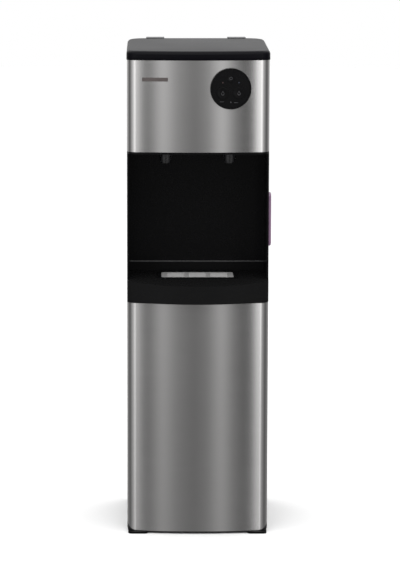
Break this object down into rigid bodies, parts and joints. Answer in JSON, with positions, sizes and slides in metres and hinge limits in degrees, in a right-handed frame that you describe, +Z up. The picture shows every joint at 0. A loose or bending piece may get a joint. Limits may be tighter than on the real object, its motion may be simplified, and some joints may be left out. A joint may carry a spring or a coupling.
{
  "type": "water dispenser",
  "caption": "Floor-standing bottom-loading water dispenser: steel door and control panel, open black alcove with two spouts, drip tray, bottle bay, tanks and rear cooling coil.",
  "frame": {"origin": "middle of the footprint on the floor", "axes": "+Z up, the front with its door, alcove and controls faces -Y, +X to the right of someone facing it"},
  "size_m": [0.307, 0.364, 1.0435],
  "materials": {
    "brushed_steel": "vertically brushed stainless steel skin",
    "gloss_black": "gloss black moulding",
    "satin_black": "satin black moulding",
    "cover_grey": "fine-textured dark grey moulding",
    "painted_black": "black powder coat on sheet steel",
    "grille_steel": "brushed stainless steel",
    "badge_steel": "darkened steel plate, left blank",
    "lens_purple": "tinted translucent lens",
    "galvanised": "zinc-plated sheet",
    "copper": "drawn copper tube",
    "tank_steel": "stainless tank",
    "foam_white": "expanded foam",
    "white_plastic": "white moulding",
    "clear_hose": "clear silicone tube",
    "board_green": "circuit board",
    "rubber_black": "black rubber",
    "rocker_red": "red rocker",
    "rocker_blue": "blue rocker",
    "rocker_grey": "pale grey rocker",
    "spacer_grey": "dark moulding"
  },
  "bodies": {
    "cabinet": {"base_pan": "satin_black", "front_feet": "satin_black", "rear_feet": "rubber_black", "side_panel_left": "painted_black", "side_panel_right": "painted_black", "bay_liner": "satin_black", "compressor_shelf": "galvanised", "tank_shelf": "galvanised", "alcove_housing": "gloss_black", "tray_housing": "gloss_black", "door_hinge_pins": "galvanised", "door_magnet": "galvanised", "upper_front_panel": "brushed_steel", "panel_backing": "satin_black", "name_badge": "badge_steel", "control_pod": "gloss_black", "control_board": "board_green", "spout_hot": "gloss_black", "spout_cold": "gloss_black", "valve_hot": "white_plastic", "valve_cold": "white_plastic", "side_light_lens": "lens_purple", "side_light_board": "board_green", "top_cover": "cover_grey", "wall_spacers": "spacer_grey", "back_panel": "painted_black", "back_screws": "galvanised", "condenser": "painted_black", "condenser_brackets": "painted_black", "compressor": "painted_black", "compressor_grommets": "rubber_black", "filter_drier": "copper", "refrigerant_pipes": "copper", "evaporator_coil": "copper", "cold_tank": "tank_steel", "cold_tank_insulation": "foam_white", "hot_tank": "tank_steel", "hot_tank_jacket": "galvanised", "water_pump": "satin_black", "water_tubes": "clear_hose", "power_board": "board_green", "switch_plate": "satin_black", "cord_gland": "satin_black", "drain_pipe": "clear_hose", "bottle_probe": "white_plastic", "probe_clip": "satin_black", "probe_hose": "clear_hose"},
    "door": {"door_skin": "brushed_steel", "door_liner": "satin_black", "door_strike": "galvanised"},
    "tray": {"drip_tray": "gloss_black"},
    "grille": {"drip_grille": "grille_steel"},
    "hot_button": {"button_hot": "gloss_black"},
    "cold_button": {"button_cold": "gloss_black"},
    "lock_button": {"button_lock": "gloss_black"},
    "hot_rocker": {"switch_hot": "rocker_red"},
    "cold_rocker": {"switch_cold": "rocker_blue"},
    "light_rocker": {"switch_light": "rocker_grey"},
    "drain_screw_cap": {"drain_cap": "white_plastic"}
  },
  "joints": [
    {"name": "door_hinge", "type": "hinge", "parent": "cabinet", "child": "door", "pos_m": [0.144, -0.126, 0.253], "axis": [0, 0, 1], "range_deg": [0, 110]},
    {"name": "tray_lift", "type": "slide", "parent": "cabinet", "child": "tray", "axis": [0, 0, 1], "range_m": [0, 0.06]},
    {"name": "grille_lift", "type": "slide", "parent": "tray", "child": "grille", "axis": [0, 0, 1], "range_m": [0, 0.04]},
    {"name": "hot_press", "type": "slide", "parent": "cabinet", "child": "hot_button", "axis": [-0.0788, 0.9969, 0], "range_m": [0, 0.0025], "stiffness_N_per_m": 400, "springref_m": -0.002},
    {"name": "cold_press", "type": "slide", "parent": "cabinet", "child": "cold_button", "axis": [-0.0788, 0.9969, 0], "range_m": [0, 0.0025], "stiffness_N_per_m": 400, "springref_m": -0.002},
    {"name": "lock_press", "type": "slide", "parent": "cabinet", "child": "lock_button", "axis": [-0.0788, 0.9969, 0], "range_m": [0, 0.0025], "stiffness_N_per_m": 400, "springref_m": -0.002},
    {"name": "hot_rocker_tip", "type": "hinge", "parent": "cabinet", "child": "hot_rocker", "pos_m": [0.066, 0.1474, 0.975], "axis": [-1, 0, 0], "range_deg": [0, 24]},
    {"name": "cold_rocker_tip", "type": "hinge", "parent": "cabinet", "child": "cold_rocker", "pos_m": [0.09, 0.1474, 0.975], "axis": [-1, 0, 0], "range_deg": [0, 24]},
    {"name": "light_rocker_tip", "type": "hinge", "parent": "cabinet", "child": "light_rocker", "pos_m": [0.114, 0.1474, 0.975], "axis": [-1, 0, 0], "range_deg": [0, 24]},
    {"name": "drain_cap_turn", "type": "hinge", "parent": "cabinet", "child": "drain_screw_cap", "pos_m": [0.128, 0.16, 0.6], "axis": [0, 1, 0], "continuous": true}
  ]
}
